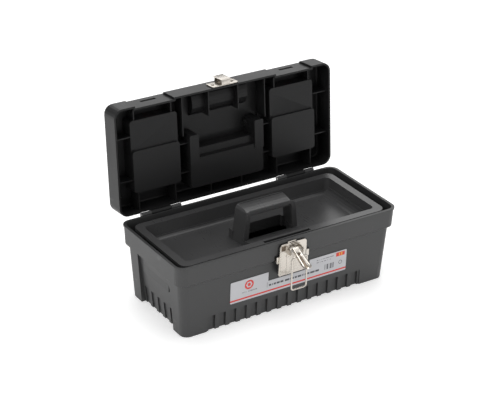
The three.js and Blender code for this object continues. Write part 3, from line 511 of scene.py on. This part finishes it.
def makePlate(look):
    half, low, high, back, front = (look[k] for k in ("half", "low", "high", "back", "front"))
    plate = newCube("latchPlate", (-half, front, low), (half, back, high))
    paint(plate, nickel, nickelShade)
    roundEdges(plate, lambda middle, way: runsThrough(way), look["corner"])
    slide(plate, lambda v: v.x < -half + 4 and v.z < low + 4, (-look["flare"], 0, 0))
    hollows = [look[k] for k in ("recess", "slot", "crease")]
    cutAt(plate, "x", -half + look["hem"], *(x for hollow in hollows for x in hollow[:2]), *look["strap"])
    cutAt(plate, "z", *(z for hollow in hollows for z in hollow[2:]))

    def within(x0, x1, z0, z1):
        return lambda c, n: facesFront(n) and x0 < c.x < x1 and z0 < c.z < z1

    # each hollow's floor takes the darker nickel, painted shade
    for hollow in hollows:
        pushFaces(plate, within(*hollow), (0, look["deep"], 0), 1)
    pushFaces(plate, within(-half - 3, -half + look["hem"], low, high), (0, -look["hemRaise"], 0))
    pushFaces(plate, within(*look["strap"], look["strapLow"], look["slot"][2]), (0, -look["strapRaise"], 0))
    left, right = look["hook"]
    barLow, barHigh = look["hookBar"]
    bar = newCube("bar", (left, front, barLow), (right, back, barHigh))
    stem = newCube("stem", (left + 0.03, front + 0.03, high - 0.5),
                   (left + look["stem"], back - 0.03, barHigh - 0.1))
    pieces = [bar, stem, *makeEar(look, -1), *makeEar(look, 1)]
    for piece in pieces:
        paint(piece, nickel, nickelShade)
    finishPiece(joined("latchPlate", plate, *pieces), "base", "latch_plate", 0.22)


makePlate(plateLook)
print("latch plate made")

leverLook = {
    "rest": 26,  # degrees out from hanging straight down
    "length": 30.5, "heel": 2.6, "root": 8.6, "tip": 11.4,  # long, behind the pivot, wide at each end
    "top": 3.1, "wall": 3.6, "sheet": 0.9, "wallRise": 1.3, "lip": 1.6,
    "columns": (-0.4, 0.0, -1.2, -2.8, -2.8, -1.7, -0.2, 0.0, -0.4), "rows": 12,  # drop across the valley
    # shade: across these x the valley takes the darker nickel, painted shade and painted dark reflection
    "valley": (-28.5, -7), "shade": (-2.9, 1.6),
}


def makeLever(look):
    bpy.ops.object.select_all(action="DESELECT")
    across, along = len(look["columns"]) - 1, look["rows"]
    bpy.ops.mesh.primitive_grid_add(x_subdivisions=across, y_subdivisions=along, size=1)
    lever = bpy.context.object
    tip, root, reach = look["tip"], look["root"], look["length"]
    length = reach + look["heel"]
    lever.scale = (tip * mm, length * mm, mm)
    lever.location = (0, (look["heel"] - length / 2) * mm, look["top"] * mm)
    bpy.ops.object.transform_apply(location=True, rotation=True, scale=True)
    far, near = look["valley"]
    for column, drop in enumerate(look["columns"]):
        x = -tip / 2 + column * tip / across
        slide(lever, lambda v: abs(v.x - x) < 0.1 and far < v.y < near, (0, 0, drop))
    rows = sorted({round(v.co.y / mm, 3) for v in lever.data.vertices})
    for row in rows:  # narrower towards the pivot
        share = max(0.0, min(1.0, (row + reach) / reach))
        pick(lever, "vertices", lambda v: abs(v.y - row) < 0.05)
        bpy.ops.transform.resize(value=(1 - share * (1 - root / tip), 1, 1), center_override=(0, 0, 0))
        bpy.ops.object.mode_set(mode="OBJECT")
    slide(lever, lambda v: v.y < rows[0] + 0.1, (0, 0.4, -look["lip"]))
    slide(lever, lambda v: v.y < rows[0] + 0.6 and abs(v.x) > tip * 0.45, (0, 1.4, 0))

    def alongSide(middle, way):
        taper = (tip - root) / 2 * max(0, -middle.y / reach) * 0.9
        return abs(way.y) > 0.8 and abs(middle.x) > root * 0.47 + taper

    pick(lever, "edges", alongSide)
    bpy.ops.mesh.extrude_region_move(TRANSFORM_OT_translate={"value": (0, 0, -look["wall"] * mm)})
    bpy.ops.object.mode_set(mode="OBJECT")
    slide(lever, lambda v: v.z < -0.2 and v.y < -reach * 0.75, (0, 0, look["wallRise"]))
    paint(lever, nickel, nickelShade)
    # the valley's faces take the darker nickel, painted shade and painted dark reflection
    shadeLeft, shadeRight = look["shade"]
    pick(lever, "polygons", lambda c, n: shadeLeft < c.x < shadeRight and far < c.y < near)
    bpy.ops.object.mode_set(mode="OBJECT")
    for face in lever.data.polygons:
        face.material_index = int(face.select)
    thick = lever.modifiers.new("thick", "SOLIDIFY")
    thick.thickness, thick.offset, thick.use_even_offset = look["sheet"] * mm, -1, True
    bpy.ops.object.modifier_apply(modifier="thick")
    lever.rotation_euler = (math.radians(look["rest"]), 0, 0)
    lever.location = latchPivot * mm
    lever.name = "latchLever"
    finishPiece(lever, "lever", "latch_lever", 0.2, 40, 50)


makeLever(leverLook)
print("latch lever made")

bailLook = {"half": 10.7, "length": 43.8, "arm": 9.5, "wire": 1.1, "corner": 3.4}


def makeBail(look):  # hangs straight down from its ends in the lever
    rest = math.radians(leverLook["rest"])
    topY = latchPivot.y - look["arm"] * math.cos(rest)
    topZ = latchPivot.z - look["arm"] * math.sin(rest)
    bpy.ops.object.select_all(action="DESELECT")
    bpy.ops.mesh.primitive_plane_add(size=1, location=(0, topY * mm, (topZ - look["length"] / 2) * mm),
                                     rotation=(math.pi / 2, 0, 0))
    bail = bpy.context.object
    bail.scale = (look["half"] * 2 * mm, look["length"] * mm, 1)
    bpy.ops.object.transform_apply(location=True, rotation=True, scale=True)
    pick(bail, "vertices", lambda v: True)
    bpy.ops.mesh.bevel(offset=look["corner"] * mm, segments=6, affect="VERTICES")
    bpy.ops.mesh.delete(type="ONLY_FACE")
    bpy.ops.object.mode_set(mode="OBJECT")
    bpy.ops.object.convert(target="CURVE")
    bail = bpy.context.object
    bail.data.bevel_depth, bail.data.bevel_resolution = look["wire"] * mm, 4
    bpy.ops.object.convert(target="MESH")
    bail = bpy.context.object
    paint(bail, nickel)
    bail.name = "latchBail"
    finishPiece(bail, "bail", "latch_bail", 0, 40, 60)


makeBail(bailLook)
print("latch bail made")

keeperLook = {
    "half": 19.0, "low": 100.6, "high": 117.5, "face": -70.7, "back": -69.6, "corner": 2.5,
    "strap": (-5.2, 8.8), "out": -76.9, "near": 101.3, "far": 122.0, "sheet": 0.9,
    "slot": (-3.6, 7.4, 102.9, 103.8), "toe": 2.6, "toeDrop": 0.3, "shelf": (118.1, 6.8),
}


def swungOpen(piece):  # from where it sits on the shut lid to where the open lid holds it
    low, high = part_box("hinge_pin_left")
    hinge = Vector((0, (low.y + high.y) / 2, (low.z + high.z) / 2))
    opening = next(joint["range_deg"][1] for joint in frame["joints"] if joint["name"] == "lid_hinge")
    turn = Matrix.Rotation(-math.radians(opening), 4, "X")
    piece.matrix_world = Matrix.Translation(hinge) @ turn @ Matrix.Translation(-hinge)


def makeKeeper(look):
    half, face, out, sheet = (look[k] for k in ("half", "face", "out", "sheet"))
    left, right = look["strap"]
    near, wall = look["near"], face + 0.3
    flange = newCube("flange", (-half, face, look["low"]), (half, look["back"], look["high"]))
    roundEdges(flange, lambda middle, way: runsThrough(way), look["corner"])
    strap = newCube("strap", (left, out, near), (right, out + sheet, look["far"]))
    x0, x1, z0, z1 = look["slot"]
    cutAt(strap, "x", x0, x1)
    cutAt(strap, "z", z0, z1)
    toe = newCube("toe", (left + 0.04, out + 0.1, near - 0.1), (right - 0.04, wall, near + sheet))
    slide(toe, lambda v: v.y > -73, (0, 0, -look["toeDrop"]))
    slide(toe, lambda v: v.y > -73 and v.x > 0, (-look["toe"], 0, 0))
    shelfLow, shelfRight = look["shelf"]
    shelf = newCube("shelf", (left + 0.04, out + 0.1, shelfLow), (shelfRight, wall, shelfLow + sheet))
    for piece in (flange, strap, toe, shelf):
        paint(piece, nickel, nickelShade)
    # the slot's floor takes the darker nickel, painted shade
    pushFaces(strap, lambda c, n: facesFront(n) and x0 < c.x < x1 and z0 < c.z < z1, (0, sheet * 0.8, 0), 1)
    keeper = joined("keeper", flange, strap, toe, shelf)
    swungOpen(keeper)
    finishPiece(keeper, "lid", "keeper_plate", 0.2)


makeKeeper(keeperLook)
print("keeper made")

rivetLook = {"head": 2.4, "hole": 1.2, "raise": 0.75, "deep": 0.9}


def makeRivet(look, node):
    low, high = (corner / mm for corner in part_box(node))
    x, z, seat = (low.x + high.x) / 2, (low.z + high.z) / 2, plateLook["front"]
    head = newRod("rivet", look["head"], (x, seat - look["raise"], z), (x, seat + 0.9, z))
    pick(head, "polygons", lambda c, n: facesFront(n))
    bpy.ops.mesh.inset(thickness=(look["head"] - look["hole"]) * mm)
    bpy.ops.object.mode_set(mode="OBJECT")
    paint(head, nickel, shellPlastic)

    def holeFace(c, n):
        return facesFront(n) and (c - Vector((x, c.y, z))).length < 0.2

    # the hole's floor takes the dark shell plastic, painted shade down the rivet's bore
    pushFaces(head, holeFace, (0, look["deep"], 0), 1)
    head.name = node.replace("_", "") + "Head"
    finishPiece(head, "base", node, 0.12)


for name in ("latch_rivet_left", "latch_rivet_right"):
    makeRivet(rivetLook, name)
print("rivets made")

stageLook = {
    "floor": 8.0, "under": 0.2, "white": (0.86, 0.86, 0.86), "glow": 0.42, "world": 0.4,  # floor in metres
    "lamps": {  # place and size in metres, power in watts
        "keySoftbox": ((-1.7, -0.5, 1.3), 1.2, 12), "topSoftbox": ((0.2, 0.3, 2.0), 1.6, 22),
        "fillSoftbox": ((0.9, -1.8, 0.9), 1.2, 3), "backSoftbox": ((1.2, 2.4, 1.7), 2.5, 24),
    },
    "aim": (0, 0, 0.1),
}


def makeFloor(look):
    bpy.ops.object.select_all(action="DESELECT")
    bpy.ops.mesh.primitive_plane_add(size=look["floor"], location=(0, 0, -look["under"] * mm))
    floor = bpy.context.object
    floor.name = "floor"
    g = Graph("paleFloor")
    mottle = g.noise(g.place(), 3.0)
    base = g.mix(mottle, look["white"], [c * 0.99 for c in look["white"]])
    floor.data.materials.append(g.finish({"Base Color": base, "Roughness": 0.9,
                                          "Emission Color": (1, 1, 1, 1), "Emission Strength": look["glow"]}))


def makeLight(look):
    world = bpy.data.worlds.new("studio")
    world.use_nodes = True
    backdrop = world.node_tree.nodes["Background"].inputs
    backdrop["Color"].default_value = (1, 1, 1, 1)
    backdrop["Strength"].default_value = look["world"]
    bpy.context.scene.world = world
    for name, (place, size, power) in look["lamps"].items():
        data = bpy.data.lights.new(name, "AREA")
        data.energy, data.size = power, size
        lamp = bpy.data.objects.new(name, data)
        lamp.location = place
        lamp.rotation_euler = (Vector(look["aim"]) - Vector(place)).to_track_quat("-Z", "Y").to_euler()
        bpy.context.scene.collection.objects.link(lamp)


makeFloor(stageLook)
makeLight(stageLook)
bpy.context.scene.view_settings.view_transform = "Standard"
print("stage made")
